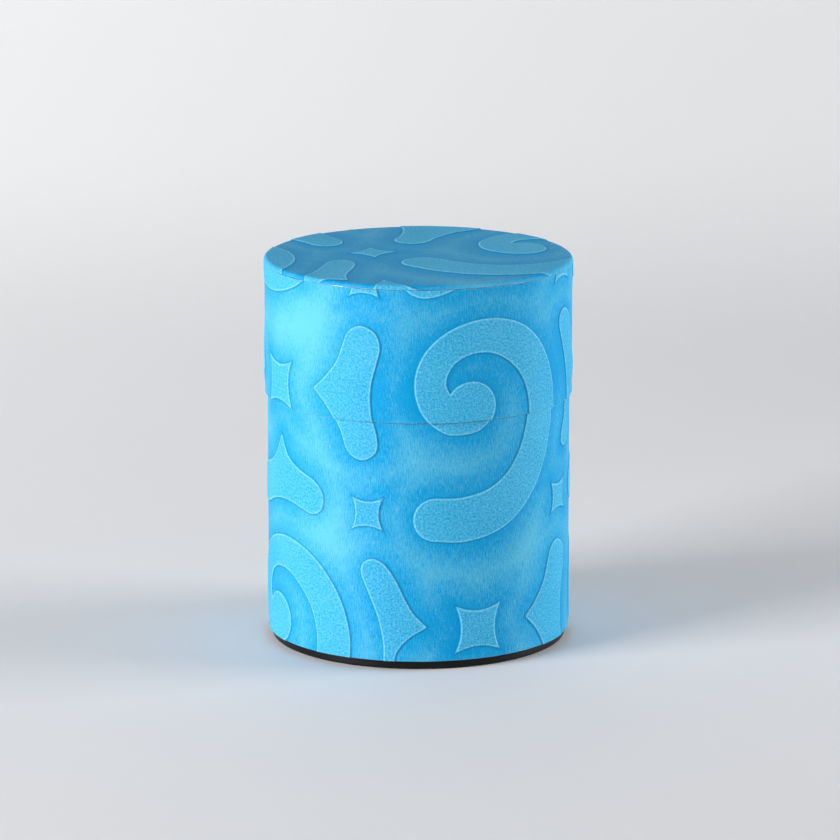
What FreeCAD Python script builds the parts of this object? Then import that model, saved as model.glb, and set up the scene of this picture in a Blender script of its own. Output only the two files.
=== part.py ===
"""Paper-covered canister tin with a lift-off lid and a knobbed inner lid.

The tin is a double-walled round can on a black foot, a pressed inner lid that drops into
the can's neck, and a deep outer lid that slides down over the neck. Both outside walls and
the lid's top are covered in thick embossed paper. Millimetres, +Z up, origin at the centre
of the circle that the foot stands on.
"""

import FreeCAD, Part
import math
import os

V = FreeCAD.Vector
AXIS = V(0, 0, 1)
ORIGIN = V(0, 0, 0)

# ---- driving dimensions: the whole tin ------------------------------------------------
TOTAL_HEIGHT = 98.5  # table to the paper on the lid's top
LID_DIAMETER = 78.4  # over the lid's paper
LID_HEIGHT = 34.9  # lid's lower edge to its top
LID_STEP = 0.6  # how far the lid's wall stands outside the body's wall
MOUTH_GAP = 0.15  # hairline between the lid's lower edge and the body's upper edge

# ---- driving dimensions: sheet materials ----------------------------------------------
TIN = 0.30  # tinplate of every pressed or rolled part
PAPER = 0.35  # thick handmade paper
PASTE = 0.03  # film of paste or solder between two layers that are joined

# ---- driving dimensions: the can -------------------------------------------------------
FOOT_HEIGHT = 2.3  # foot that shows below the paper
FOOT_WIDTH = 1.7  # width of the folded foot ring, over both of its walls
FOOT_BEND = 0.45  # mid-line bend of the foot's two lower corners
PANEL_LIFT = 1.7  # underside of the base panel above the table
BASE_SKIRT = 5.0  # how far the base reaches up inside the can
NECK_RISE = 20.0  # neck above the body's upper edge
LID_FIT = 0.12  # radial clearance of the lid on the neck's lip and bead
LIP_HEM = 1.6  # height of the lip folded out and down at the neck's top
BEAD_ABOVE_MOUTH = 3.2  # centre of the neck's grip bead above the body's upper edge
BEAD_HEIGHT = 3.0  # height of that bead
BEAD_BEND = 0.9  # mid-line bend along that bead

# ---- driving dimensions: the inner lid -------------------------------------------------
PLUG_FIT = 0.10  # radial clearance of the inner lid in the neck
PLUG_DEPTH = 7.0  # how far the inner lid's pan reaches down into the neck
PLUG_BEND = 1.2  # mid-line bend at the foot of the pan's wall
FLANGE_BEND = 0.4  # mid-line bend where the pan's wall turns out into its flange
FLANGE_FIT = 0.30  # radial clearance of that flange inside the outer lid
STEP_RADIUS = 27.0  # where the pan's floor steps up
STEP_HEIGHT = 0.8
STEP_RUN = 1.4  # how far the step slopes outwards
STEP_BEND = 0.8
KNOB_HEIGHT = 9.5
KNOB_RADIUS = 6.5
KNOB_STEM_RADIUS = 3.4
KNOB_FOOT_RADIUS = 5.2
KNOB_FOOT_HEIGHT = 1.4
KNOB_HEAD_HEIGHT = 3.6
KNOB_SOCKET_RADIUS = 2.9  # hollow in the knob's top, where the rivet is closed
KNOB_SOCKET_DEPTH = 0.9
RIVET_RADIUS = 1.5
RIVET_FIT = 0.03  # radial clearance of the rivet in its holes
RIVET_HEAD_RADIUS = 2.6
RIVET_HEAD_HEIGHT = 0.8
WASHER_RADIUS = 4.4
WASHER_THICKNESS = 0.6

# ---- driving dimensions: the outer lid -------------------------------------------------
SHOULDER = 1.1  # outer rounding of the paper at the lid's upper edge
TURN_DOWN = 1.15  # how far the top's paper reaches below the top of the lid
TOP_SKIRT = 4.2  # depth of the top plate's skirt, which laps over the lid's barrel
JOGGLE_RUN = 0.8  # height over which the barrel steps in to take that skirt
JOGGLE_BEND = 0.5
BUTT_GAP = 0.1  # gap between two edges that butt
LAP_WIDTH = 7.0  # the paper's overlap at the back
LAP_THICKNESS = 0.25  # what that pressed overlap adds

# ---- radii and heights that follow from the driving dimensions --------------------------
lid_radius = LID_DIAMETER / 2
lid_tin_radius = lid_radius - PAPER - PASTE
lid_bore_radius = lid_tin_radius - TIN
body_radius = lid_radius - LID_STEP
body_tin_radius = body_radius - PAPER - PASTE
neck_radius = body_tin_radius - TIN - PASTE
neck_bore_radius = neck_radius - TIN
grip_radius = lid_bore_radius - LID_FIT  # outermost reach of the neck's lip and bead
foot_radius = neck_bore_radius - PASTE

lid_mouth_z = TOTAL_HEIGHT - LID_HEIGHT
body_mouth_z = lid_mouth_z - MOUTH_GAP
neck_top_z = body_mouth_z + NECK_RISE
flange_z = neck_top_z + PASTE + TIN / 2  # middle of the inner lid's flange
pan_z = neck_top_z - PLUG_DEPTH + TIN / 2  # middle of the pan's outer floor
floor_z = pan_z + STEP_HEIGHT  # middle of the pan's raised floor
floor_top_z = floor_z + TIN / 2
floor_under_z = floor_z - TIN / 2
tin_top_z = TOTAL_HEIGHT - PAPER - PASTE
turn_down_z = TOTAL_HEIGHT - TURN_DOWN
tin_shoulder = SHOULDER - PAPER - PASTE


# ---- shapes turned about the axis --------------------------------------------------------
def unit(a, b):
    """Unit vector from point a to point b in the r-z plane."""
    length = math.hypot(b[0] - a[0], b[1] - a[1])
    return (b[0] - a[0]) / length, (b[1] - a[1]) / length


def at(point):
    """The r-z point as a space point on the X-Z plane."""
    return V(point[0], 0, point[1])


def rounded_corner(before, corner, after):
    """Start, middle and end of the arc that rounds a corner (r, z, radius)."""
    d1, d2 = unit(before, corner), unit(corner, after)
    turn = math.acos(max(-1.0, min(1.0, d1[0] * d2[0] + d1[1] * d2[1])))
    radius = corner[2]
    reach = radius * math.tan(turn / 2)
    start = (corner[0] - d1[0] * reach, corner[1] - d1[1] * reach)
    end = (corner[0] + d2[0] * reach, corner[1] + d2[1] * reach)
    inward = unit((0, 0), (d2[0] - d1[0], d2[1] - d1[1]))
    sag = radius / math.cos(turn / 2) - radius
    middle = (corner[0] + inward[0] * sag, corner[1] + inward[1] * sag)
    return start, middle, end


def turned(loop):
    """Solid turned about the Z axis from a closed loop of corners (r, z, rounding)."""
    edges = []
    corners = []
    count = len(loop)
    for i, corner in enumerate(loop):
        if corner[2] > 0:
            corners.append(rounded_corner(loop[i - 1], corner, loop[(i + 1) % count]))
        else:
            corners.append((corner[:2], None, corner[:2]))
    for i, (start, middle, end) in enumerate(corners):
        if middle is not None:
            edges.append(Part.Arc(at(start), at(middle), at(end)).toShape())
        following = corners[(i + 1) % count][0]
        if math.hypot(following[0] - end[0], following[1] - end[1]) > 1e-7:
            edges.append(Part.LineSegment(at(end), at(following)).toShape())
    face = Part.Face(Part.Wire(edges))
    solid = face.revolve(ORIGIN, AXIS, 360)
    return solid if solid.Volume > 0 else solid.reversed()


def pressed(path, thickness=TIN):
    """Sheet part turned about Z: path is its mid-line, as corners (r, z, mid-line bend)."""
    sides = []
    last = len(path) - 1
    directions = [unit(path[i], path[i + 1]) for i in range(last)]
    for side in (1, -1):
        shift = side * thickness / 2
        row = []
        for i, (r, z, bend) in enumerate(path):
            d1 = directions[max(i - 1, 0)]
            d2 = directions[min(i, last - 1)]
            n1, n2 = (-d1[1], d1[0]), (-d2[1], d2[0])
            share = shift / (1 + n1[0] * n2[0] + n1[1] * n2[1])
            turn = d1[0] * d2[1] - d1[1] * d2[0]
            radius = bend - side * math.copysign(thickness / 2, turn) if bend else 0
            row.append((r + (n1[0] + n2[0]) * share, z + (n1[1] + n2[1]) * share, radius))
        sides.append(row)
    return turned(sides[0] + sides[1][::-1])


def tube(outer, inner, low, high):
    """Plain upright tube."""
    return turned([(inner, low, 0), (outer, low, 0), (outer, high, 0), (inner, high, 0)])


def wrapped(outer, low, high):
    """Paper wrapped round a wall, with its pressed overlap at the back."""
    sheet = tube(outer, outer - PAPER, low, high)
    spread = math.degrees(LAP_WIDTH / outer)
    turn = FreeCAD.Rotation(AXIS, 90 - spread / 2)
    ends = [
        Part.makeCylinder(radius, high - low, V(0, 0, low), AXIS, spread)
        for radius in (outer + LAP_THICKNESS, outer - PAPER / 2)
    ]
    for end in ends:
        end.Placement = FreeCAD.Placement(ORIGIN, turn).multiply(end.Placement)
    return sheet.fuse(ends[0].cut(ends[1])).removeSplitter()


# ---- the can -------------------------------------------------------------------------------
def base_plate():
    """Black base: a flat panel, a folded foot ring and a skirt up inside the can."""
    outer = foot_radius - TIN / 2
    inner = foot_radius - FOOT_WIDTH + TIN / 2
    low = TIN / 2
    panel = PANEL_LIFT + TIN / 2
    return pressed([
        (0, panel, 0),
        (inner, panel, FOOT_BEND),
        (inner, low, FOOT_BEND),
        (outer, low, FOOT_BEND),
        (outer, FOOT_HEIGHT + BASE_SKIRT, 0),
    ])


def inner_barrel():
    """Inner can wall, which rises above the body as the neck that both lids fit."""
    wall = neck_radius - TIN / 2
    reach = grip_radius - TIN / 2
    hem_bend = (reach - wall) / 2
    top = neck_top_z - TIN / 2
    bead_z = body_mouth_z + BEAD_ABOVE_MOUTH
    half = BEAD_HEIGHT / 2
    bead_bend = min(BEAD_BEND, half / 2)
    return pressed([
        (wall, FOOT_HEIGHT, 0),
        (wall, bead_z - half, bead_bend),
        (reach, bead_z - half / 3, bead_bend / 2),
        (reach, bead_z + half / 3, bead_bend / 2),
        (wall, bead_z + half, bead_bend),
        (wall, top, hem_bend),
        (reach, top, hem_bend),
        (reach, top - LIP_HEM, 0),
    ])


def outer_barrel():
    """Outer can wall, which carries the body's paper."""
    return tube(body_tin_radius, body_tin_radius - TIN, FOOT_HEIGHT, body_mouth_z)


def body_paper():
    """Paper round the body, from the foot to the body's upper edge."""
    return wrapped(body_radius, FOOT_HEIGHT, body_mouth_z)


# ---- the inner lid --------------------------------------------------------------------------
def inner_lid_pan():
    """Pressed pan that plugs the neck and hangs from it by a flange."""
    wall = neck_bore_radius - PLUG_FIT - TIN / 2
    pan = pressed([
        (0, floor_z, 0),
        (STEP_RADIUS, floor_z, STEP_BEND),
        (STEP_RADIUS + STEP_RUN, pan_z, STEP_BEND),
        (wall, pan_z, PLUG_BEND),
        (wall, flange_z, FLANGE_BEND),
        (lid_bore_radius - FLANGE_FIT, flange_z, 0),
    ])
    hole = Part.makeCylinder(RIVET_RADIUS + RIVET_FIT, TIN * 4, V(0, 0, floor_z - TIN * 2))
    return pan.cut(hole)


def inner_lid_knob():
    """Turned knob: a foot on the pan's floor, a slim stem and a rounded head."""
    z0 = floor_top_z + PASTE
    bore = RIVET_RADIUS + RIVET_FIT
    foot = z0 + KNOB_FOOT_HEIGHT
    head = z0 + KNOB_HEIGHT - KNOB_HEAD_HEIGHT
    top = z0 + KNOB_HEIGHT
    return turned([
        (bore, z0, 0),
        (KNOB_FOOT_RADIUS, z0, 0),
        (KNOB_FOOT_RADIUS, foot, KNOB_FOOT_HEIGHT * 0.45),
        (KNOB_STEM_RADIUS, foot, (KNOB_FOOT_RADIUS - KNOB_STEM_RADIUS) * 0.45),
        (KNOB_STEM_RADIUS, head, (KNOB_RADIUS - KNOB_STEM_RADIUS) * 0.6),
        (KNOB_RADIUS, head, KNOB_HEAD_HEIGHT * 0.3),
        (KNOB_RADIUS, top, KNOB_HEAD_HEIGHT * 0.4),
        (KNOB_SOCKET_RADIUS, top, 0),
        (KNOB_SOCKET_RADIUS, top - KNOB_SOCKET_DEPTH, 0),
        (bore, top - KNOB_SOCKET_DEPTH, 0),
    ])


def knob_washer():
    """Washer under the pan's floor, so that the rivet doesn't tear the tinplate."""
    top = floor_under_z - PASTE
    return tube(WASHER_RADIUS, RIVET_RADIUS + RIVET_FIT, top - WASHER_THICKNESS, top)


def knob_rivet():
    """Rivet through washer, pan and knob, with a domed head below and a closed head above."""
    under = floor_under_z - PASTE * 2 - WASHER_THICKNESS
    seat = floor_top_z + PASTE + KNOB_HEIGHT - KNOB_SOCKET_DEPTH + PASTE
    closed = min(RIVET_HEAD_RADIUS, KNOB_SOCKET_RADIUS - PASTE)
    rounding = RIVET_HEAD_HEIGHT * 0.8
    return turned([
        (0, under - RIVET_HEAD_HEIGHT, 0),
        (RIVET_HEAD_RADIUS, under - RIVET_HEAD_HEIGHT, rounding),
        (RIVET_HEAD_RADIUS, under, 0),
        (RIVET_RADIUS, under, 0),
        (RIVET_RADIUS, seat, 0),
        (closed, seat, 0),
        (closed, seat + RIVET_HEAD_HEIGHT, rounding),
        (0, seat + RIVET_HEAD_HEIGHT, 0),
    ])


# ---- the outer lid --------------------------------------------------------------------------
def lid_barrel():
    """Lid's wall, stepped in at its top to take the top plate's skirt flush."""
    wall = lid_tin_radius - TIN / 2
    step = TIN + PASTE
    seam = tin_top_z - TOP_SKIRT - BUTT_GAP
    inside_shoulder = max(tin_shoulder, TIN)
    return pressed([
        (wall, lid_mouth_z, 0),
        (wall, seam - JOGGLE_RUN, JOGGLE_BEND),
        (wall - step, seam, JOGGLE_BEND),
        (wall - step, tin_top_z - inside_shoulder - BUTT_GAP, 0),
    ])


def lid_top_plate():
    """Pressed top of the lid: a flat disc with a rounded shoulder and a short skirt."""
    wall = lid_tin_radius - TIN / 2
    top = tin_top_z - TIN / 2
    bend = max(tin_shoulder - TIN / 2, TIN * 0.6)
    return pressed([(0, top, 0), (wall, top, bend), (wall, tin_top_z - TOP_SKIRT, 0)])


def lid_side_paper():
    """Paper round the lid's wall, butted under the turned-down paper of the top."""
    return wrapped(lid_radius, lid_mouth_z, turn_down_z - BUTT_GAP)


def lid_top_paper():
    """Paper over the lid's top, pressed down round the shoulder."""
    wall = lid_radius - PAPER / 2
    top = TOTAL_HEIGHT - PAPER / 2
    bend = SHOULDER - PAPER / 2
    return pressed([(0, top, 0), (wall, top, bend), (wall, turn_down_z, 0)], PAPER)


NODES = {
    "base_plate": base_plate,
    "inner_barrel": inner_barrel,
    "outer_barrel": outer_barrel,
    "body_paper": body_paper,
    "inner_lid_pan": inner_lid_pan,
    "inner_lid_knob": inner_lid_knob,
    "knob_washer": knob_washer,
    "knob_rivet": knob_rivet,
    "lid_barrel": lid_barrel,
    "lid_top_plate": lid_top_plate,
    "lid_side_paper": lid_side_paper,
    "lid_top_paper": lid_top_paper,
}


def main():
    os.makedirs("parts", exist_ok=True)
    for name, make in NODES.items():
        shape = make()
        if not shape.isValid() or shape.Volume <= 0:
            raise ValueError(f"{name} is not a valid solid")
        solid = shape.Solids[0] if len(shape.Solids) == 1 else shape
        solid.exportStep(f"parts/{name}.step")
        box = solid.BoundBox
        print(f"{name:15s} {solid.Volume:8.1f} mm3, z {box.ZMin:5.2f} to {box.ZMax:5.2f}")


main()
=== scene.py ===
"""The looks of a paper-covered canister tin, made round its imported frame.

The three papers are worked out as embossed sheets from the outlines of their pattern and are
wrapped round the tin. The tinware keeps its own meshes and gets its finishes here.
"""

import bpy
import numpy as np
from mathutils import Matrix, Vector


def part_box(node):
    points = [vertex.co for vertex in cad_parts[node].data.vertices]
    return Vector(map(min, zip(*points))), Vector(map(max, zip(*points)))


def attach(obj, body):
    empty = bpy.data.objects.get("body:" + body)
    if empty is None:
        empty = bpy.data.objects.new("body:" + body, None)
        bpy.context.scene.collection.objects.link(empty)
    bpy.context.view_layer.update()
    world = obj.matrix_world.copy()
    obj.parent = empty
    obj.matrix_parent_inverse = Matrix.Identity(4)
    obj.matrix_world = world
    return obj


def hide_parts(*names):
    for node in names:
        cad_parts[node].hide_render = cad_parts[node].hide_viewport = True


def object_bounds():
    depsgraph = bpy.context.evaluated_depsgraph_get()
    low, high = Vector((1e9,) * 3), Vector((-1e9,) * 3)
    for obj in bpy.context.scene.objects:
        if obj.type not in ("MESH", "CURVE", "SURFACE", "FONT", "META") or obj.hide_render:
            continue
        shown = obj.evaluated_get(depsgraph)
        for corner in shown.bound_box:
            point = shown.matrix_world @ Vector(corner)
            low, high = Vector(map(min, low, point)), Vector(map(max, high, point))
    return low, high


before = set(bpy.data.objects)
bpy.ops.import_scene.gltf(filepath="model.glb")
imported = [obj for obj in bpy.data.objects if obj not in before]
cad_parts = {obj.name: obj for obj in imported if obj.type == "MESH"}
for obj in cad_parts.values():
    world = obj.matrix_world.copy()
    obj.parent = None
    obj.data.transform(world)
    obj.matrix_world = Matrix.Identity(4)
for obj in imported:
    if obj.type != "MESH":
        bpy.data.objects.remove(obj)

bl_info = {
    "name": "Paper-covered canister tin",
    "version": (1, 0, 0),
    "blender": (4, 5, 0),
    "location": "3D View > Sidebar > Canister",
    "description": "Wraps a canister tin in embossed paper and finishes its tinware",
    "category": "Object",
}

MM = 0.001
CAD_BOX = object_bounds()
BODY_LOW, BODY_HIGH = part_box("body_paper")
LID_LOW, LID_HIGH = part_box("lid_side_paper")
TOP_LOW, TOP_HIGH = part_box("lid_top_paper")
FOOT_LOW, FOOT_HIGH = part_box("base_plate")
# In millimetres: the radius at which the pattern keeps its flat length round the tin, and how
# far from a cut edge its distance is worked out.
PATTERN_RADIUS = (BODY_HIGH.x + LID_HIGH.x) / 2 / MM
CUT_REACH = 5.0
# The height that the camera turns about, for a tin 1 high.
CAMERA_PIVOT = 0.4944


# ---- the pattern on the sheet --------------------------------------------------------------------
# One unit of the pattern, in millimetres of the flat sheet: x to the right, y up. The unit is
# repeated as a half drop: each next column is moved down by half of the unit's height.
UNIT = np.array([118.0, 120.0])
DRAWN_TO = 0.99  # size of the pattern on the paper for 1 in the drawing below
REACH = 14.0  # distances from the motifs are worked out as far as this

# The scroll is a band: x, y and half width along its middle, from the tail to the coiled head.
SCROLL_BAND = [
    (4.3, 39.2, 5.6),
    (12.0, 39.0, 5.8),
    (20.8, 41.2, 5.7),
    (28.2, 46.6, 5.4),
    (33.2, 54.2, 5.3),
    (35.7, 62.8, 5.2),
    (35.2, 70.4, 5.2),
    (32.2, 77.4, 5.1),
    (26.8, 82.9, 5.0),
    (20.0, 85.8, 4.5),
    (13.0, 85.6, 4.1),
    (7.4, 82.9, 3.9),
    (4.0, 78.6, 3.9),
    (3.0, 73.6, 4.0),
    (4.7, 68.8, 4.4),
    (8.6, 66.0, 5.0),
    (12.8, 67.3, 6.4),
]
SCROLL_HEAD = (13.5, 68.0, 6.6)

# The three beaked leaves: each outline starts at the point of its beak.
LEAF_BEAK_LEFT = [
    (-28.8, 71.3),
    (-24.6, 75.2),
    (-21.4, 79.4),
    (-19.6, 84.0),
    (-18.0, 87.2),
    (-14.6, 88.8),
    (-10.8, 87.0),
    (-9.6, 83.2),
    (-10.5, 79.0),
    (-11.8, 74.0),
    (-12.1, 69.5),
    (-11.6, 64.5),
    (-10.5, 60.0),
    (-10.7, 56.6),
    (-13.2, 54.4),
    (-16.4, 54.4),
    (-19.0, 56.6),
    (-20.8, 61.3),
    (-24.2, 66.7),
]
LEAF_BEAK_UP = [
    (-43.3, 56.8),
    (-40.0, 51.8),
    (-35.0, 49.1),
    (-29.5, 47.2),
    (-26.8, 44.8),
    (-26.0, 42.2),
    (-27.0, 39.4),
    (-30.0, 38.1),
    (-34.0, 38.9),
    (-38.5, 39.8),
    (-43.3, 39.8),
    (-48.5, 38.7),
    (-53.5, 36.8),
    (-58.0, 36.2),
    (-61.6, 37.8),
    (-62.8, 41.2),
    (-61.0, 45.0),
    (-56.0, 47.0),
    (-50.5, 48.6),
    (-46.4, 51.6),
]
LEAF_BEAK_RIGHT = [
    (2.3, 11.3),
    (-1.0, 14.6),
    (-3.4, 18.6),
    (-5.6, 23.2),
    (-8.4, 27.2),
    (-11.7, 28.8),
    (-14.4, 27.6),
    (-15.0, 24.8),
    (-13.2, 20.3),
    (-11.0, 15.0),
    (-9.6, 10.0),
    (-9.0, 5.0),
    (-9.4, 0.5),
    (-11.5, -3.5),
    (-11.8, -6.5),
    (-9.0, -7.6),
    (-6.2, -5.0),
    (-6.2, 0.0),
    (-5.6, 4.4),
    (-2.4, 8.4),
]
# The stars: centre x and y, reach of the four points and half width at the waist.
STARS = [(-43.3, 70.4, 6.4, 4.7), (-13.3, 40.4, 4.4, 3.2), (45.2, 40.2, 4.2, 3.1)]
# Patches of the sheet made paler, or with a minus deeper: x, y, reach and how much. The first two,
# pale at the left, are a painted sheen of the key light; the last, over the middle of the lid's top,
# is painted shade on the whole top; the others make the ground paler or deeper in places.
DYE_PATCHES_AND_PAINTED_LIGHT = [
    (-31.0, 86.0, 15.0, 0.5),
    (-24.0, 34.0, 12.0, 0.65),
    (-3.0, -3.0, 14.0, 0.25),
    (-4.0, 71.0, 9.0, -0.35),
    (25.0, 72.0, 10.0, -0.15),
    (6.0, 10.0, 9.0, -0.3),
    (44.0, 76.0, 9.0, -0.2),
    (33.0, 30.0, 10.0, 0.15),
    (114.5, 164.0, 40.0, -0.3),
]


def curve_through(knots, closed=False, steps=8):
    """Points of the Catmull-Rom curve through the knots: on each span, the cubic that meets
    both knots with slopes of half the way between their neighbours. A closed curve keeps a
    sharp corner at its first knot."""
    knots = np.asarray(knots, float)
    if closed:
        knots = np.vstack([knots, knots[:1]])
    ends = 2 * knots[0] - knots[1], 2 * knots[-1] - knots[-2]
    p = np.vstack([ends[0], knots, ends[1]])
    p0, p1, p2, p3 = (p[i : len(p) - 3 + i, None, :] for i in range(4))
    t = np.linspace(0, 1, steps, endpoint=False)[None, :, None]
    cubic = (3 * (p1 - p2) + p3 - p0) * t + (2 * p0 - 5 * p1 + 4 * p2 - p3)
    spans = p1 + 0.5 * t * ((p2 - p0) + t * cubic)
    return np.vstack([spans.reshape(-1, p.shape[1]), knots[-1:]])


def distance_to_line(points, line, chunk=8192):
    """Distance from each point to a chain of segments: the least, over the segments, of the
    length of what is left after the nearest share of the segment is taken away. A third
    column in the line is a half width, which is taken off."""
    start, step = line[:-1], line[1:] - line[:-1]
    length = (step[:, :2] ** 2).sum(1)
    nearest = np.empty(len(points))
    for first in range(0, len(points), chunk):
        away = points[first : first + chunk, None, :] - start[:, :2]
        share = np.clip((away * step[:, :2]).sum(2) / length, 0, 1)
        gap = np.hypot(*np.moveaxis(away - share[..., None] * step[:, :2], 2, 0))
        if line.shape[1] == 3:
            gap -= start[:, 2] + share * step[:, 2]
        nearest[first : first + chunk] = gap.min(1)
    return nearest


def inside_outline(points, outline):
    """True where a ray to the right from the point crosses the outline an odd number of times."""
    x, y = points.T
    odd = np.zeros(len(points), bool)
    for (x0, y0), (x1, y1) in zip(outline[:-1], outline[1:]):
        if y0 != y1:
            crossing = x0 + (y - y0) * (x1 - x0) / (y1 - y0)
            odd ^= ((y0 > y) != (y1 > y)) & (x < crossing)
    return odd


def scroll_distance(points):
    """Distance to the scroll: to its band or to the disc of its head, whichever is nearer."""
    x, y, radius = SCROLL_HEAD
    head = np.hypot(points[:, 0] - x, points[:, 1] - y) - radius
    return np.minimum(distance_to_line(points, curve_through(SCROLL_BAND)), head)


def leaf_distance(points, knots):
    """Distance to a leaf's outline, negative inside it."""
    outline = curve_through(knots, closed=True)
    gap = distance_to_line(points, outline)
    return np.where(inside_outline(points, outline), -gap, gap)


def star_distance(points, star):
    """Distance to a star: a square less four discs, which hollow its sides. Each disc passes
    through two points of the star and through the waist between them."""
    x, y, reach, waist = star
    across = np.abs(points - (x, y))
    low, high = across.min(1), across.max(1)
    hollow = (reach**2 + (reach - waist) ** 2) / (2 * (reach - waist))
    side = hollow - np.hypot(low, high - waist - hollow)
    return np.maximum(side, high - reach)


def motifs():
    """Each motif's distance function, with the lowest and highest corner of its outline."""
    band = np.array(SCROLL_BAND)
    wide = band[:, 2:].max()
    yield scroll_distance, band[:, :2].min(0) - wide, band[:, :2].max(0) + wide
    for knots in (LEAF_BEAK_LEFT, LEAF_BEAK_UP, LEAF_BEAK_RIGHT):
        corners = np.array(knots)
        yield lambda p, k=knots: leaf_distance(p, k), corners.min(0), corners.max(0)
    for star in STARS:
        centre, reach = np.array(star[:2]), star[2]
        yield lambda p, s=star: star_distance(p, s), centre - reach, centre + reach


def motif_distance(points):
    """Distance in millimetres from points of the sheet to the nearest motif of the repeated
    pattern, negative inside a motif and never more than REACH."""
    points = points / DRAWN_TO
    nearest = np.full(len(points), REACH)
    low, high = points.min(0) - REACH, points.max(0) + REACH
    for distance, corner, far_corner in motifs():
        first = np.floor((low - far_corner) / (UNIT / 2)).astype(int)
        last = np.ceil((high - corner) / (UNIT / 2)).astype(int)
        for column in range(first[0], last[0] + 1):
            for row in range(first[1], last[1] + 1):
                if (column + row) % 2:
                    continue
                moved = points - np.array([column, row]) * UNIT / 2
                near = ((moved > corner - REACH) & (moved < far_corner + REACH)).all(1)
                if near.any():
                    nearest[near] = np.minimum(nearest[near], distance(moved[near]))
    return nearest * DRAWN_TO


# ---- the papers' meshes --------------------------------------------------------------------------
def smooth(low, high, x):
    """0 below low, 1 above high and 3t^2 - 2t^3 between them."""
    t = np.clip((x - low) / (high - low), 0, 1)
    return t * t * (3 - 2 * t)


def waves(x, y, count, shortest, longest, seed):
    """Gentle unevenness: the mean of plane waves with drawn directions, lengths and phases."""
    draw = np.random.default_rng(seed)
    total = np.zeros(np.broadcast(x, y).shape)
    for _ in range(count):
        angle, phase = draw.uniform(0, 2 * np.pi, 2)
        length = draw.uniform(shortest, longest)
        along = x * np.cos(angle) + y * np.sin(angle)
        total += np.sin(2 * np.pi * along / length + phase)
    return total / count


def embossed(distance, paper):
    """Height of the emboss over the tin's outline: a plateau inside each motif, whose edge
    rises as a smooth step, with a low bead just inside it and a shallow groove outside."""
    half, spread = paper.edge_width / 2, 0.7 * paper.edge_width
    plateau = 1 - smooth(-half, half, distance)
    bead = np.exp(-(((distance + half) / spread) ** 2))
    groove = np.exp(-(((distance - half) / spread) ** 2))
    return paper.relief * plateau - paper.sink + paper.bead * bead - paper.groove * groove


def drawn_to_outline(distance, slopes, pitch, paper):
    """How far each vertex moves so that those nearest to a motif's outline lie on the two edges
    of its slope: the change of distance, times the distance's slope along each of the grid's
    directions, over the square of the whole slope. The new distance comes first."""
    half, caught, free = paper.edge_width / 2, 0.7 * pitch, 2 * pitch
    steep_enough = 0.3
    places = [0, caught, free], [half, half, free]
    new = np.sign(distance) * np.interp(np.abs(distance), *places)
    steep = slopes[0] ** 2 + slopes[1] ** 2
    near = (np.abs(distance) < free) & (steep > steep_enough)
    new = np.where(near, new, distance)
    share = np.where(near, (new - distance) / np.where(near, steep, 1), 0)
    return new, share * slopes[0], share * slopes[1]


def grid_faces(rows, columns, wrap_rows=False, wrap_columns=False):
    """Quads of a grid of vertices numbered row by row, facing along columns x rows."""
    row = np.arange(rows if wrap_rows else rows - 1)[:, None]
    column = np.arange(columns if wrap_columns else columns - 1)[None, :]
    next_row, next_column = (row + 1) % rows, (column + 1) % columns
    corners = (
        row * columns + column,
        row * columns + next_column,
        next_row * columns + next_column,
        next_row * columns + column,
    )
    return np.stack([np.broadcast_to(c, (row.size, column.size)) for c in corners], -1).reshape(-1, 4)


def paper_object(name, vertices, faces, sheet, distance, cut):
    """A paper's object. It carries the flat sheet's place as its UV map, the distance to the
    nearest motif and the distance to the nearest cut edge, all in millimetres."""
    mesh = bpy.data.meshes.new(name)
    mesh.from_pydata((vertices * MM).tolist(), [], faces)
    corner = np.empty(len(mesh.loops), np.int32)
    mesh.loops.foreach_get("vertex_index", corner)
    uv = mesh.uv_layers.new(name="sheet")
    uv.data.foreach_set("uv", sheet[corner].astype(np.float32).ravel())
    for label, values in (("motif", distance), ("cut", cut)):
        attribute = mesh.attributes.new(label, "FLOAT", "POINT")
        attribute.data.foreach_set("value", values.astype(np.float32))
    mesh.shade_smooth()
    piece = bpy.data.objects.new(name, mesh)
    bpy.context.scene.collection.objects.link(piece)
    return piece


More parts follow.
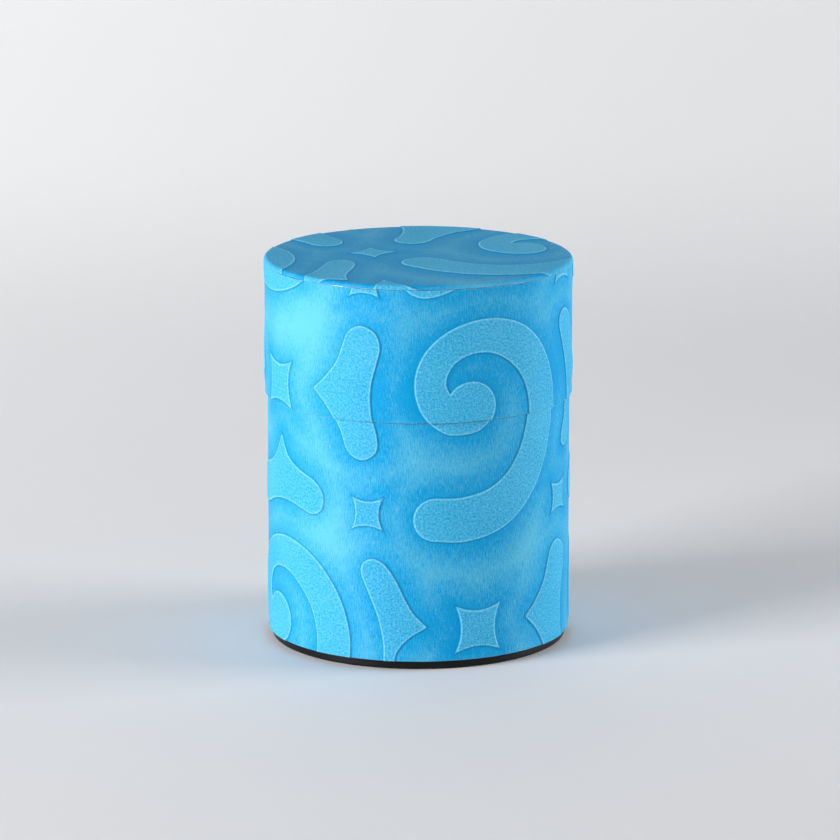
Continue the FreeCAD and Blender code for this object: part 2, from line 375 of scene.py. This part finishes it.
def wrapped_paper(name, low, high, paper, pitch, seed):
    """A strip of paper wrapped once round the tin, from the middle of its back, with its last
    stretch over its first. A point of the strip goes to the angle of its length round the tin
    and keeps its height, and the emboss moves it outwards. The section of the strip is a loop:
    up the outer face, over a rounded edge, down the inner face and over the lower edge."""
    radius, lap = high.x / MM, (high.y - high.x) / MM
    bottom, top = low.z / MM, high.z / MM
    round_tin = 2 * np.pi * radius
    columns = int((round_tin + paper.lap_width) / pitch) + 1
    rows = int((top - bottom) / pitch) + 1
    along = np.linspace(-round_tin / 2, round_tin / 2 + paper.lap_width, columns)
    rim = 0.25 * paper.thickness
    outer = np.linspace(bottom + rim, top - rim, rows)
    x, z = np.meshgrid(along * PATTERN_RADIUS / radius, outer)
    distance = motif_distance(np.stack([x.ravel(), z.ravel()], 1)).reshape(x.shape)
    slopes = np.gradient(distance, outer, x[0])
    inner = np.s_[1:-1, 1:-1]
    moved, rise, run = drawn_to_outline(distance, slopes, pitch, paper)
    distance[inner], z[inner] = moved[inner], (z + rise)[inner]
    x[inner] += run[inner]
    cut = np.minimum(np.minimum(z - bottom, top - z), x - x[0, 0]).clip(0, CUT_REACH)
    cut = np.minimum(cut, x[0, -1] - x)

    x, z, distance, cut = (
        np.vstack([grid[:1], grid, grid[[-1, -1, 0]]]) for grid in (x, z, distance, cut)
    )
    z[[0, -1]], z[[-3, -2]] = bottom, top
    cut[[0, -1, -2, -3]] = 0
    depth = np.zeros(len(z))
    depth[[0, -3]] = rim
    depth[[-2, -1]] = paper.thickness
    angle = x / PATTERN_RADIUS
    past_meeting = x[:1] - np.pi * PATTERN_RADIUS
    over = smooth(-3 * lap, 4 * lap, past_meeting)
    thin = 1 - over * (1 - 0.8 * lap / paper.thickness)
    cockle = paper.cockle * waves(x, z, count=14, shortest=6.0, longest=30.0, seed=seed)
    lift = embossed(distance, paper) + cockle
    waver = waves(x, 0 * z, count=10, shortest=1.5, longest=9.0, seed=seed + 1)
    waver = paper.cut_waver * waver
    z = z + np.where(cut == 0, waver, 0) * np.sign((bottom + top) / 2 - z)
    outside = (depth < paper.thickness)[:, None]
    reach = radius + over * lap - depth[:, None] * thin + outside * lift
    vertices = np.stack([reach * np.sin(angle), -reach * np.cos(angle), z], -1)
    starts = np.arange(len(z)) * columns
    ends = [starts.tolist(), (starts + columns - 1)[::-1].tolist()]
    quads = grid_faces(len(z), columns, wrap_rows=True).tolist()
    sheet = np.stack([x.ravel(), z.ravel()], 1)
    return paper_object(
        name, vertices.reshape(-1, 3), quads + ends, sheet, distance.ravel(), cut.ravel()
    )


def pressed_section(out, paper):
    """Radius, height below the top and tilt of the lid's top, for distances from its middle
    along the paper: flat, then a quarter turn round the shoulder, then straight down."""
    brink = TOP_HIGH.x / MM - paper.shoulder
    turn = np.clip((out - brink) / paper.shoulder, 0, np.pi / 2)
    down = np.clip(out - brink - paper.shoulder * np.pi / 2, 0, None)
    section_r = np.minimum(out, brink) + paper.shoulder * np.sin(turn)
    return section_r, paper.shoulder * (1 - np.cos(turn)) + down, turn


def top_paper(name, low, high, paper, pitch, seed):
    """A disc of paper over the lid's top, pressed down round its shoulder. A point of the disc
    keeps its angle, its distance from the middle is laid along the pressed section, and the
    emboss moves it square to the section. Pleats grow towards the cut edge."""
    radius, top, bottom = high.x / MM, high.z / MM, low.z / MM
    flat = radius - paper.shoulder
    trial = np.linspace(flat, flat + 3 * paper.shoulder, 400)
    full = np.interp(top - bottom, pressed_section(trial, paper)[1], trial)
    rings = [np.linspace(pitch, flat, int(flat / pitch)), np.linspace(flat, full, 12)[1:]]
    columns = int(2 * np.pi * radius / (1.5 * pitch))
    turn = np.arange(columns) * 2 * np.pi / columns - np.pi
    angle, out = np.meshgrid(turn, np.concatenate(rings))
    sheet = sheet_under_top(out, angle, paper)
    distance = motif_distance(sheet.reshape(-1, 2)).reshape(out.shape)
    around = (np.roll(distance, -1, 1) - np.roll(distance, 1, 1)) / (4 * np.pi / columns * out)
    slopes = np.gradient(distance, out[:, 0], axis=0), around
    moved, rise, run = drawn_to_outline(distance, slopes, 1.2 * pitch, paper)
    distance[2:-1], out[2:-1] = moved[2:-1], (out + rise)[2:-1]
    angle[2:-1] += (run / out)[2:-1]

    section_r, drop, tilt = pressed_section(out, paper)
    cut = np.clip(full - out, 0, CUT_REACH)
    pleat = smooth(flat - 0.5, full, out) * pleats(turn, paper, seed)
    across, back = out * np.sin(angle), out * np.cos(angle)
    cockle = paper.cockle * waves(across, back, count=14, shortest=6.0, longest=30.0, seed=seed)
    lift = embossed(distance, paper) + cockle + pleat
    reach = section_r + lift * np.sin(tilt)
    rise = top - drop + lift * np.cos(tilt)
    waver = waves(turn * radius, 0, count=12, shortest=2.0, longest=14.0, seed=seed + 1)
    rise[-1] += paper.cut_waver * waver

    under_out = np.array([flat - 1, full - 0.3, full])[:, None]
    under_r, under_drop, under_tilt = pressed_section(under_out, paper)
    under_r = under_r - paper.thickness * np.sin(under_tilt)
    under_z = top - under_drop - paper.thickness * np.cos(under_tilt)

    def with_under(values, grid):
        """The rings of the under side, each of one value, and then the upper rings inwards."""
        return np.vstack([np.repeat(values, columns, 1), grid[::-1]])

    ring_r, ring_z = with_under(under_r, reach), with_under(under_z, rise)
    ring_angle = with_under(np.zeros((3, 1)), angle)
    ring_angle[:3] = turn
    vertices = np.stack([ring_r * np.sin(ring_angle), -ring_r * np.cos(ring_angle), ring_z], -1)
    edge = distance[[-1, -1, -1]]
    ring_distance = np.vstack([edge, distance[::-1]]).ravel()
    ring_cut = np.vstack([0 * edge, cut[::-1]]).ravel()
    ring_sheet = sheet_under_top(with_under(under_out, out), ring_angle, paper).reshape(-1, 2)

    middle = sheet_under_top(np.zeros(2), np.zeros(2), paper)
    middle_distance = motif_distance(middle)
    summit = top + embossed(middle_distance, paper)[0]
    poles = np.array([[0, 0, top - paper.thickness], [0, 0, summit]])
    rows, count = len(ring_r), ring_r.size
    column = np.arange(columns)
    after = (column + 1) % columns
    last = (rows - 1) * columns
    lower_cap = np.stack([after, column, np.full(columns, count)], 1)
    upper_cap = np.stack([last + column, last + after, np.full(columns, count + 1)], 1)
    quads = grid_faces(rows, columns, wrap_columns=True).tolist()
    return paper_object(
        name,
        np.vstack([vertices.reshape(-1, 3), poles]),
        quads + lower_cap.tolist() + upper_cap.tolist(),
        np.vstack([ring_sheet, middle]),
        np.concatenate([ring_distance, middle_distance]),
        np.concatenate([ring_cut, [CUT_REACH, CUT_REACH]]),
    )


def sheet_under_top(out, angle, paper):
    """Place on the pattern's sheet of a point of the top disc, which was cut out of the sheet
    turned and moved, one unit further on, and stretched from front to back: the point less all
    three, turned back."""
    turn = paper.top_turn
    x = out * np.sin(angle) - paper.top_shift[0]
    y = -out * np.cos(angle) / paper.top_stretch - paper.top_shift[1]
    turned_back = [x * np.cos(turn) + y * np.sin(turn), y * np.cos(turn) - x * np.sin(turn)]
    return np.stack(turned_back, -1) + UNIT * DRAWN_TO


def pleats(angle, paper, seed):
    """Heights of the small pleats that take up the disc's spare edge: narrow bell curves at
    drawn angles, some up and some down."""
    draw = np.random.default_rng(seed + 7)
    places = draw.uniform(-np.pi, np.pi, paper.pleat_count)
    sizes = draw.uniform(-0.5, 1.0, paper.pleat_count) * paper.pleat_height
    widths = draw.uniform(0.35, 0.9, paper.pleat_count) * paper.pleat_width
    away = np.abs(angle[:, None] - places)
    away = np.minimum(away, 2 * np.pi - away) * TOP_HIGH.x / MM
    return (sizes * np.exp(-((away / widths) ** 2))).sum(1)


# ---- shader maths --------------------------------------------------------------------------------
class Value:
    """A number or colour that varies over a surface. Arithmetic on it adds Math nodes."""

    def __init__(self, finish, socket):
        self.finish = finish
        self.socket = socket

    def math(self, operation, *others):
        inputs = dict(enumerate((self, *others)))
        return self.finish.node("ShaderNodeMath", {"operation": operation}, inputs)

    def __add__(self, other):
        return self.math("ADD", other)

    def __sub__(self, other):
        return self.math("SUBTRACT", other)

    def __rsub__(self, other):
        return self.finish.node("ShaderNodeMath", {"operation": "SUBTRACT"}, {0: other, 1: self})

    def __mul__(self, other):
        return self.math("MULTIPLY", other)

    def __truediv__(self, other):
        return self.math("DIVIDE", other)

    def __neg__(self):
        return self.math("MULTIPLY", -1.0)

    __radd__ = __add__
    __rmul__ = __mul__

    def absolute(self):
        return self.math("ABSOLUTE")

    def most(self, other):
        return self.math("MAXIMUM", other)

    def sine(self):
        return self.math("SINE")

    def bell(self, middle, width):
        """A bell curve of this value round the middle."""
        away = (self - middle) / width
        return (-(away * away)).math("EXPONENT")

    def ramp(self, low, high, start=0.0, end=1.0):
        """Start below low, end above high and a smooth step between them."""
        return self.finish.node(
            "ShaderNodeMapRange",
            {"interpolation_type": "SMOOTHSTEP"},
            {0: self, 1: low, 2: high, 3: start, 4: end},
        )


class Finish:
    """One material, whose varying values are written as expressions."""

    def __init__(self, name, **constants):
        self.material = bpy.data.materials.new(name)
        self.material.use_nodes = True
        self.tree = self.material.node_tree
        self.shader = self.tree.nodes["Principled BSDF"]
        for socket, value in constants.items():
            self.shader.inputs[socket.replace("_", " ")].default_value = value

    def node(self, kind, settings=None, inputs=None, output=0):
        """A node of a kind, with its settings made first and then its inputs, and its output."""
        node = self.tree.nodes.new(kind)
        for name, value in (settings or {}).items():
            setattr(node, name, value)
        for name, value in (inputs or {}).items():
            if isinstance(value, Value):
                self.tree.links.new(value.socket, node.inputs[name])
            else:
                node.inputs[name].default_value = value
        return Value(self, node.outputs[output])

    def attribute(self, name):
        return self.node("ShaderNodeAttribute", {"attribute_name": name}, output="Fac")

    def place(self):
        """Object coordinates, as x, y and z in metres, and together."""
        together = self.node("ShaderNodeTexCoord", output="Object")
        parts = [self.node("ShaderNodeSeparateXYZ", None, {0: together}, i) for i in range(3)]
        return together, *parts

    def sheet(self):
        """The flat sheet's coordinates, in millimetres."""
        return self.node("ShaderNodeUVMap", {"uv_map": "sheet"})

    def scaled(self, vector, x, y, z=1.0):
        settings = {"operation": "MULTIPLY"}
        return self.node("ShaderNodeVectorMath", settings, {0: vector, 1: (x, y, z)})

    def noise(self, vector, scale, detail=2.0, roughness=0.5, distortion=0.0):
        inputs = {"Vector": vector, "Scale": scale, "Detail": detail}
        inputs.update({"Roughness": roughness, "Distortion": distortion})
        return self.node("ShaderNodeTexNoise", None, inputs)

    def mix(self, share, first, second):
        """First colour at share 0 and second at share 1."""
        settings = {"data_type": "RGBA", "clamp_factor": True}
        colours = [(*c, 1.0) if isinstance(c, tuple) and len(c) == 3 else c for c in (first, second)]
        return self.node("ShaderNodeMix", settings, {0: share, 6: colours[0], 7: colours[1]}, 2)

    def distance(self, vector, place):
        settings = {"operation": "DISTANCE"}
        return self.node("ShaderNodeVectorMath", settings, {0: vector, 1: place}, "Value")

    def bump(self, height, distance, strength=1.0):
        inputs = {"Height": height, "Distance": distance, "Strength": strength}
        return self.node("ShaderNodeBump", None, inputs)

    def feed(self, **values):
        for socket, value in values.items():
            self.tree.links.new(value.socket, self.shader.inputs[socket.replace("_", " ")])
        return self.material


def colour(setting):
    """A colour setting as a plain tuple."""
    return tuple(setting[:3])


def dyed_paper_and_painted_light(paper):
    """Thick handmade paper, dyed with a brush after it was embossed: deep round the motifs and paler
    away from them, dusty on the motifs and greyer where cut. A pale line along the motifs' edges is
    worn dye and a painted highlight; a dark line in the groove outside them is painted shade; patches
    add painted sheen at the left and painted shade on the lid's top."""
    finish = Finish("dyed_paper_and_painted_light", Specular_IOR_Level=0.05)
    distance = finish.attribute("motif")
    cut = finish.attribute("cut")
    sheet = finish.sheet()
    grain = finish.noise(sheet, 1.7, 4.0, 0.75)
    speckle = finish.noise(sheet, 4.6, 2.0, 0.6)
    fibres = finish.noise(finish.scaled(sheet, 3.8, 0.42), 1.0, 3.0, 0.65, 0.3)
    fine_fibres = finish.noise(finish.scaled(sheet, 7.0, 0.9), 1.0, 2.0, 0.6, 0.3)
    clouds = finish.noise(sheet, 0.05, 2.0, 0.5, 0.3)
    brushed = finish.noise(finish.scaled(sheet, 0.11, 0.22), 1.0, 4.0, 0.65, 0.3)
    inside = distance.ramp(0.1, -0.2)

    threads = (fibres - 0.5) * 1.7 + (fine_fibres - 0.5) * 1.5
    texture = threads + (speckle - 0.5) * 1.2 + (grain - 0.5) * 0.8
    bare = (distance - 0.2) / paper.halo_width + (clouds - 0.5) * 0.8 + (brushed - 0.5) * 0.3
    # The patches add painted sheen at the left and painted shade on the lid's top to the ground's
    # paleness.
    for x, y, reach, more in DYE_PATCHES_AND_PAINTED_LIGHT:
        away = finish.distance(sheet, (x, y, 0.0))
        bare = bare + away.bell(0.0, reach) * more
    ground = finish.mix(bare + texture, colour(paper.deep_dye), colour(paper.pale_dye))
    dust = 0.42 + (grain - 0.5) * 3.4 + (speckle - 0.5) * 2.4 + (clouds - 0.5) * 0.5
    motif = finish.mix(dust, colour(paper.motif_dye), colour(paper.motif_pale))
    body = finish.mix(inside, ground, motif)
    # Pale line just inside the motifs' edges: worn dye, and a painted highlight of the raised bead.
    rubbed_and_highlit = distance.bell(-0.25, 0.18) * (grain.ramp(0.36, 0.62) * 0.6 + 0.35)
    edged = finish.mix(rubbed_and_highlit, body, colour(paper.rubbed_and_highlit_line))
    # Painted shade: a dark line in the groove just outside the motifs' edges.
    groove_shade_share = distance.bell(0.22, 0.18) * 0.5
    groove_shaded = finish.mix(groove_shade_share, edged, colour(paper.painted_groove_shade))
    frayed = cut.ramp(0.5, 0.0) * grain.ramp(0.42, 0.62) * 0.5
    done = finish.mix(frayed.most(cut.ramp(0.06, 0.0) * 0.45), groove_shaded, colour(paper.core))

    ridge = distance.bell(-0.28, 0.2) * 0.05 + distance.ramp(0.15, -0.15) * 0.1
    tooth = (grain - 0.5) * (0.05 + inside * 0.15) + (speckle - 0.5) * (0.06 + inside * 0.07)
    weave = (fibres - 0.5) * 0.09 + (fine_fibres - 0.5) * 0.06
    height = (ridge + tooth + weave) * MM
    rough = 0.5 + (grain - 0.5) * 0.25 + inside * 0.06
    return finish.feed(Base_Color=done, Roughness=rough, Normal=finish.bump(height, 1.0))


def bright_tin(name, tin, soldering):
    """Bare tinplate: rolled streaks, faint crystals, cloudy handling marks, and on the barrels
    the dark line of the soldered side seam at the back."""
    finish = Finish(name, Metallic=1.0)
    place, x, y = finish.place()[:3]
    streaks = finish.noise(finish.scaled(place, 900.0, 900.0, 40.0), 1.0, 4.0, 0.6)
    marks = finish.noise(place, 60.0, 4.0, 0.6, 0.5)
    crystals = finish.node("ShaderNodeTexVoronoi", None, {"Vector": place, "Scale": 160.0}, "Color")
    crystal = finish.node("ShaderNodeSeparateColor", None, {0: crystals}, 0)
    seam = x.absolute().ramp(1.1 * MM, 0.7 * MM) * y.ramp(0.02, 0.03) * soldering
    shade = 0.25 + (streaks - 0.5) * 0.5 + (crystal - 0.5) * 0.2 + (marks - 0.5) * 0.6
    plate = finish.mix(shade, colour(tin.bright), colour(tin.dull))
    soldered = finish.mix(seam * 0.7, plate, colour(tin.seam))
    rough = 0.24 + (marks - 0.4).most(0.0) * 0.5 + (streaks - 0.5) * 0.12 + seam * 0.2
    height = (streaks - 0.5) * 0.008 * MM + seam * 0.06 * MM
    return finish.feed(
        Base_Color=soldered, Roughness=rough.most(0.08), Normal=finish.bump(height, 1.0)
    )


def black_lacquer(tin):
    """The base: black stoving lacquer outside, worn to a grey line where the foot stands, and
    bare tinplate on the face inside the can."""
    finish = Finish("black_lacquer", Specular_IOR_Level=0.2)
    place, x, y, z = finish.place()
    orange_peel = finish.noise(place, 900.0, 2.0, 0.5)
    marks = finish.noise(place, 90.0, 4.0, 0.65)
    away = (x * x + y * y).math("SQRT")
    inside = z.ramp(1.8 * MM, 1.9 * MM) * away.ramp(FOOT_HIGH.x - 0.1 * MM, FOOT_HIGH.x - 0.2 * MM)
    worn = z.ramp(0.35 * MM, 0.0) * marks.ramp(0.42, 0.62)
    black = finish.mix(worn * 0.7, colour(tin.lacquer), colour(tin.worn))
    both = finish.mix(inside, black, colour(tin.bright))
    rough = 0.34 + (marks - 0.5) * 0.3 - inside * 0.06 + worn * 0.15
    height = (orange_peel - 0.5) * 0.02 * MM
    return finish.feed(
        Base_Color=both,
        Metallic=inside.most(worn * 0.5),
        Roughness=rough.most(0.1),
        Normal=finish.bump(height, 1.0),
    )


def turned_metal(tin):
    """The knob and its rivet: fine turning rings round the axis, with a soft shine."""
    finish = Finish("turned_metal", Metallic=1.0)
    place, x, y, z = finish.place()
    away = (x * x + y * y).math("SQRT")
    rings = ((away * 14000.0).sine() + (z * 16000.0).sine()) * 0.5
    marks = finish.noise(place, 300.0, 3.0, 0.6)
    metal = finish.mix((marks - 0.3) * 0.8, colour(tin.knob), colour(tin.dull))
    height = rings * 0.004 * MM + (marks - 0.5) * 0.01 * MM
    rough = 0.26 + (marks - 0.5) * 0.25 + rings * 0.03
    return finish.feed(Base_Color=metal, Roughness=rough, Normal=finish.bump(height, 1.0))


def backdrop_with_painted_light(stage):
    """Matt backdrop paper with the faintest tooth. Painted light grades it from darker at its near
    end to brighter at its far end and up the wall, and painted shade darkens it behind the tin's
    right."""
    finish = Finish("backdrop_with_painted_light", Specular_IOR_Level=0.25)
    place, x, y = finish.place()[:3]
    tooth = finish.noise(place, 400.0, 3.0, 0.6)
    # Painted shade on the backdrop behind the tin's right, on the side away from the key light.
    side = x.ramp(-0.25, 0.25) * y.ramp(0.05, 0.3) * 0.45
    # Painted light: the backdrop grows brighter from its near end to its far end, most of all where
    # the sweep turns up.
    share = y.ramp(-0.75, 0.75) * 0.62 + y.ramp(0.28, 0.46) * 0.33 - side
    tone = finish.mix(share, colour(stage.near), colour(stage.far))
    return finish.feed(Base_Color=tone, Roughness=0.62 + tooth * 0.1)


# ---- settings ------------------------------------------------------------------------------------
def size_setting(name, description, default):
    """A plain number, whose unit is in its description."""
    return bpy.props.FloatProperty(
        name=name, description=description, default=default, precision=3
    )


def colour_setting(name, description, default):
    return bpy.props.FloatVectorProperty(
        name=name, description=description, default=default, subtype="COLOR", min=0.0, max=1.0
    )


class PaperSettings(bpy.types.PropertyGroup):
    """Sizes in millimetres and dyes of the embossed paper."""

    thickness: size_setting("Thickness", "Thickness of the paper, mm", 0.35)
    shoulder: size_setting("Shoulder", "Outer rounding of the lid's shoulder, mm", 1.1)
    lap_width: size_setting("Overlap", "Width of the overlap at the back, mm", 7.0)
    relief: size_setting("Relief", "Height of the embossed motifs, mm", 0.2)
    sink: size_setting("Sink", "How far the ground is pressed into the paper, mm", 0.15)
    edge_width: size_setting("Edge width", "Width of the motifs' sloping edge, mm", 0.42)
    bead: size_setting("Bead", "Height of the bead inside the motifs' edge, mm", 0.04)
    groove: size_setting("Groove", "Depth of the groove outside the motifs' edge, mm", 0.03)
    cockle: size_setting("Cockling", "Height of the paper's gentle waves, mm", 0.05)
    cut_waver: size_setting("Cut edge", "Waver of the cut edges, mm", 0.04)
    pleat_count: bpy.props.IntProperty(
        name="Pleats", description="Number of pleats in the turned edge", default=90
    )
    pleat_height: size_setting("Pleat height", "Height of the largest pleats, mm", 0.09)
    pleat_width: size_setting("Pleat width", "Width of the largest pleats, mm", 0.9)
    top_turn: bpy.props.FloatProperty(
        name="Top's turn",
        description="Turn of the pattern on the lid's top",
        default=np.radians(-38.3),
        subtype="ANGLE",
    )
    top_shift: bpy.props.FloatVectorProperty(
        name="Top's shift",
        description="Where the sheet's origin lies on the lid's top, mm",
        size=2,
        default=(-26.1, -36.7),
    )
    top_stretch: bpy.props.FloatProperty(
        name="Top's stretch",
        description="Stretch of the damp disc from front to back",
        default=1.075,
    )
    halo_width: size_setting("Halo", "How far the deep dye spreads round a motif, mm", 12.0)
    pale_dye: colour_setting("Pale dye", "Open ground", (0.105, 0.455, 0.64))
    deep_dye: colour_setting("Deep dye", "Ground next to the motifs", (0.002, 0.285, 0.585))
    motif_pale: colour_setting("Motif, pale", "Dusty grain of the motifs", (0.13, 0.52, 0.79))
    motif_dye: colour_setting("Motif, dyed", "Dyed grain of the motifs", (0.004, 0.32, 0.57))
    rubbed_and_highlit_line: colour_setting("Rubbed and highlit line", "Line along the motifs' edge", (0.23, 0.63, 0.84))
    painted_groove_shade: colour_setting("Groove shade", "Painted shade in the groove", (0.003, 0.17, 0.38))
    core: colour_setting("Core", "Half-dyed core at the cut edges", (0.20, 0.44, 0.60))


class TinSettings(bpy.types.PropertyGroup):
    """Colours of the tinware."""

    bright: colour_setting("Bright tin", "Clean tinplate", (0.78, 0.77, 0.74))
    dull: colour_setting("Dull tin", "Handled tinplate", (0.50, 0.50, 0.49))
    seam: colour_setting("Seam", "Soldered side seam", (0.28, 0.27, 0.26))
    lacquer: colour_setting("Lacquer", "Black lacquer of the foot", (0.003, 0.003, 0.0035))
    worn: colour_setting("Worn lacquer", "Where the foot stands", (0.20, 0.20, 0.20))
    knob: colour_setting("Knob", "Turned metal of the knob", (0.80, 0.79, 0.77))


class StageSettings(bpy.types.PropertyGroup):
    """Camera, lights and backdrop."""

    distance: bpy.props.FloatProperty(
        name="Distance", description="Camera to the tin", default=1.325, unit="LENGTH"
    )
    elevation: bpy.props.FloatProperty(
        name="Elevation",
        description="Camera above the horizon",
        default=np.radians(13.38),
        subtype="ANGLE",
    )
    lens: bpy.props.FloatProperty(name="Lens", description="Focal length, mm", default=222.26)
    headroom: bpy.props.FloatProperty(
        name="Headroom",
        description="How far over the tin's middle the camera aims",
        default=6.63 * MM,
        unit="LENGTH",
        precision=4,
    )
    aside: bpy.props.FloatProperty(
        name="Aside",
        description="How far right of the tin's middle the camera aims",
        default=0.39 * MM,
        unit="LENGTH",
        precision=4,
    )
    key_power: size_setting("Key", "Power of the large light at the left, W", 32.0)
    fill_power: size_setting("Fill", "Power of the light at the right, W", 23.5)
    sky: size_setting("Sky", "Strength of the light from all round", 0.26)
    # Near tone is painted shade with a faint blue painted reflection of the tin; far tone is painted
    # light.
    near: colour_setting("Near tone", "Backdrop at its near end, in painted shade with a faint blue painted reflection", (0.655, 0.655, 0.675))
    far: colour_setting("Far tone", "Backdrop at its far end, in painted light", (1.0, 1.0, 1.0))


# ---- operators -----------------------------------------------------------------------------------
def add_to_tin(piece, body, replaced, material):
    """Gives a new piece its material and its place in the frame."""
    piece.data.materials.append(material)
    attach(piece, body)
    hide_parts(replaced)


def finish_nodes(names, material):
    """Gives nodes of the frame a material."""
    for name in names:
        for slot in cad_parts[name].material_slots:
            slot.material = material


class CANISTER_OT_side_papers(bpy.types.Operator):
    """Wraps the body and the lid in embossed paper"""

    bl_idname = "canister.side_papers"
    bl_label = "Side Papers"

    def execute(self, context):
        paper = context.scene.canister_paper
        material = dyed_paper_and_painted_light(paper)
        body = wrapped_paper(
            "embossed_body_paper", BODY_LOW, BODY_HIGH, paper, pitch=0.415, seed=3
        )
        lid = wrapped_paper("embossed_lid_paper", LID_LOW, LID_HIGH, paper, pitch=0.31, seed=5)
        add_to_tin(body, "can", "body_paper", material)
        add_to_tin(lid, "lid", "lid_side_paper", material)
        return {"FINISHED"}


class CANISTER_OT_top_paper(bpy.types.Operator):
    """Covers the lid's top with embossed paper"""

    bl_idname = "canister.top_paper"
    bl_label = "Top Paper"

    def execute(self, context):
        paper = context.scene.canister_paper
        top = top_paper("embossed_top_paper", TOP_LOW, TOP_HIGH, paper, pitch=0.28, seed=9)
        add_to_tin(top, "lid", "lid_top_paper", bpy.data.materials["dyed_paper_and_painted_light"])
        return {"FINISHED"}


class CANISTER_OT_tinware(bpy.types.Operator):
    """Finishes the bare tinplate of the can and the lids"""

    bl_idname = "canister.tinware"
    bl_label = "Tinware"

    def execute(self, context):
        tin = context.scene.canister_tin
        barrels = ["inner_barrel", "outer_barrel", "lid_barrel"]
        finish_nodes(barrels, bright_tin("soldered_tin", tin, soldering=1.0))
        pressings = ["inner_lid_pan", "lid_top_plate"]
        finish_nodes(pressings, bright_tin("pressed_tin", tin, soldering=0.0))
        return {"FINISHED"}


class CANISTER_OT_base(bpy.types.Operator):
    """Finishes the black base"""

    bl_idname = "canister.base"
    bl_label = "Base"

    def execute(self, context):
        finish_nodes(["base_plate"], black_lacquer(context.scene.canister_tin))
        return {"FINISHED"}


class CANISTER_OT_knob(bpy.types.Operator):
    """Finishes the inner lid's knob, rivet and washer"""

    bl_idname = "canister.knob"
    bl_label = "Knob"

    def execute(self, context):
        names = ["inner_lid_knob", "knob_rivet", "knob_washer"]
        finish_nodes(names, turned_metal(context.scene.canister_tin))
        return {"FINISHED"}


class CANISTER_OT_stage(bpy.types.Operator):
    """Sets the pale sweep, the soft lights and the camera"""

    bl_idname = "canister.stage"
    bl_label = "Stage"

    def execute(self, context):
        stage = context.scene.canister_stage
        sweep = backdrop()
        sweep.data.materials.append(backdrop_with_painted_light(stage))
        lights(stage)
        context.scene.camera = camera(stage)
        context.scene.view_settings.view_transform = "Standard"
        return {"FINISHED"}


def backdrop(width=6.0, front=-2.5, back=1.45, height=2.6, bend=1.35):
    """The sweep: a floor that turns up into a wall. Its section is flat to the bend, a quarter
    turn and straight up, and is carried sideways."""
    turn = np.linspace(0, np.pi / 2, 33)
    y = np.concatenate([[front], back - bend + bend * np.sin(turn), [back]])
    z = np.concatenate([[0], bend - bend * np.cos(turn), [height]])
    x = np.array([-width / 2, width / 2])
    across, section = np.meshgrid(x, np.arange(len(y)))
    vertices = np.stack([across, y[section], z[section]], -1).reshape(-1, 3)
    mesh = bpy.data.meshes.new("sweep")
    mesh.from_pydata(vertices.tolist(), [], grid_faces(len(y), 2).tolist())
    mesh.shade_smooth()
    sweep = bpy.data.objects.new("sweep", mesh)
    bpy.context.scene.collection.objects.link(sweep)
    return sweep


def aim(thing, place, target):
    """Puts an object at a place, looking at a target."""
    thing.location = place
    thing.rotation_euler = (Vector(target) - Vector(place)).to_track_quat("-Z", "Y").to_euler()
    bpy.context.scene.collection.objects.link(thing)
    return thing


def soft_light(name, place, target, size, power):
    """A rectangular soft box with white light."""
    data = bpy.data.lights.new(name, "AREA")
    data.shape = "RECTANGLE"
    data.size, data.size_y = size
    data.energy = power
    return aim(bpy.data.objects.new(name, data), place, target)


def lights(stage):
    """A large key low at the left, a weaker fill low at the right, and a pale sky."""
    middle = (CAD_BOX[0] + CAD_BOX[1]) / 2
    soft_light("key", (-1.22, -0.74, 0.38), middle, size=(0.7, 0.75), power=stage.key_power)
    soft_light("fill", (1.5, 0.05, 0.36), middle, size=(0.8, 0.7), power=stage.fill_power)
    world = bpy.data.worlds.new("studio")
    world.use_nodes = True
    sky = world.node_tree.nodes["Background"]
    sky.inputs["Color"].default_value = (0.95, 0.97, 1.0, 1.0)
    sky.inputs["Strength"].default_value = stage.sky
    bpy.context.scene.world = world


def camera(stage):
    """A long lens, a little above the tin and in front of it."""
    data = bpy.data.cameras.new("camera")
    data.lens = stage.lens
    data.sensor_width = 36.0
    data.clip_start, data.clip_end = 0.05, 20.0
    middle = Vector((0.0, 0.0, CAMERA_PIVOT * (TOP_HIGH.z - FOOT_LOW.z)))
    rise, run = np.sin(stage.elevation), np.cos(stage.elevation)
    place = middle + stage.distance * Vector((0.0, -run, rise))
    aimed = middle + Vector((stage.aside, stage.headroom * rise, stage.headroom * run))
    return aim(bpy.data.objects.new("camera", data), place, aimed)


class CANISTER_PT_panel(bpy.types.Panel):
    """The canister's pieces and settings"""

    bl_idname = "CANISTER_PT_panel"
    bl_label = "Canister Tin"
    bl_space_type = "VIEW_3D"
    bl_region_type = "UI"
    bl_category = "Canister"

    def draw(self, context):
        for operator in OPERATORS:
            self.layout.operator(operator.bl_idname)
        for settings in ("canister_paper", "canister_tin", "canister_stage"):
            group = getattr(context.scene, settings)
            box = self.layout.box()
            for name in group.__annotations__:
                box.prop(group, name)


SETTINGS = {
    "canister_paper": PaperSettings,
    "canister_tin": TinSettings,
    "canister_stage": StageSettings,
}
OPERATORS = [
    CANISTER_OT_side_papers,
    CANISTER_OT_top_paper,
    CANISTER_OT_tinware,
    CANISTER_OT_base,
    CANISTER_OT_knob,
    CANISTER_OT_stage,
]
CLASSES = [*SETTINGS.values(), *OPERATORS, CANISTER_PT_panel]


def register():
    for each in CLASSES:
        bpy.utils.register_class(each)
    for name, group in SETTINGS.items():
        setattr(bpy.types.Scene, name, bpy.props.PointerProperty(type=group))


def unregister():
    for name in SETTINGS:
        delattr(bpy.types.Scene, name)
    for each in reversed(CLASSES):
        bpy.utils.unregister_class(each)


def main():
    register()
    bpy.ops.canister.side_papers()
    bpy.ops.canister.top_paper()
    bpy.ops.canister.tinware()
    bpy.ops.canister.base()
    bpy.ops.canister.knob()
    bpy.ops.canister.stage()


if __name__ == "__main__":
    main()
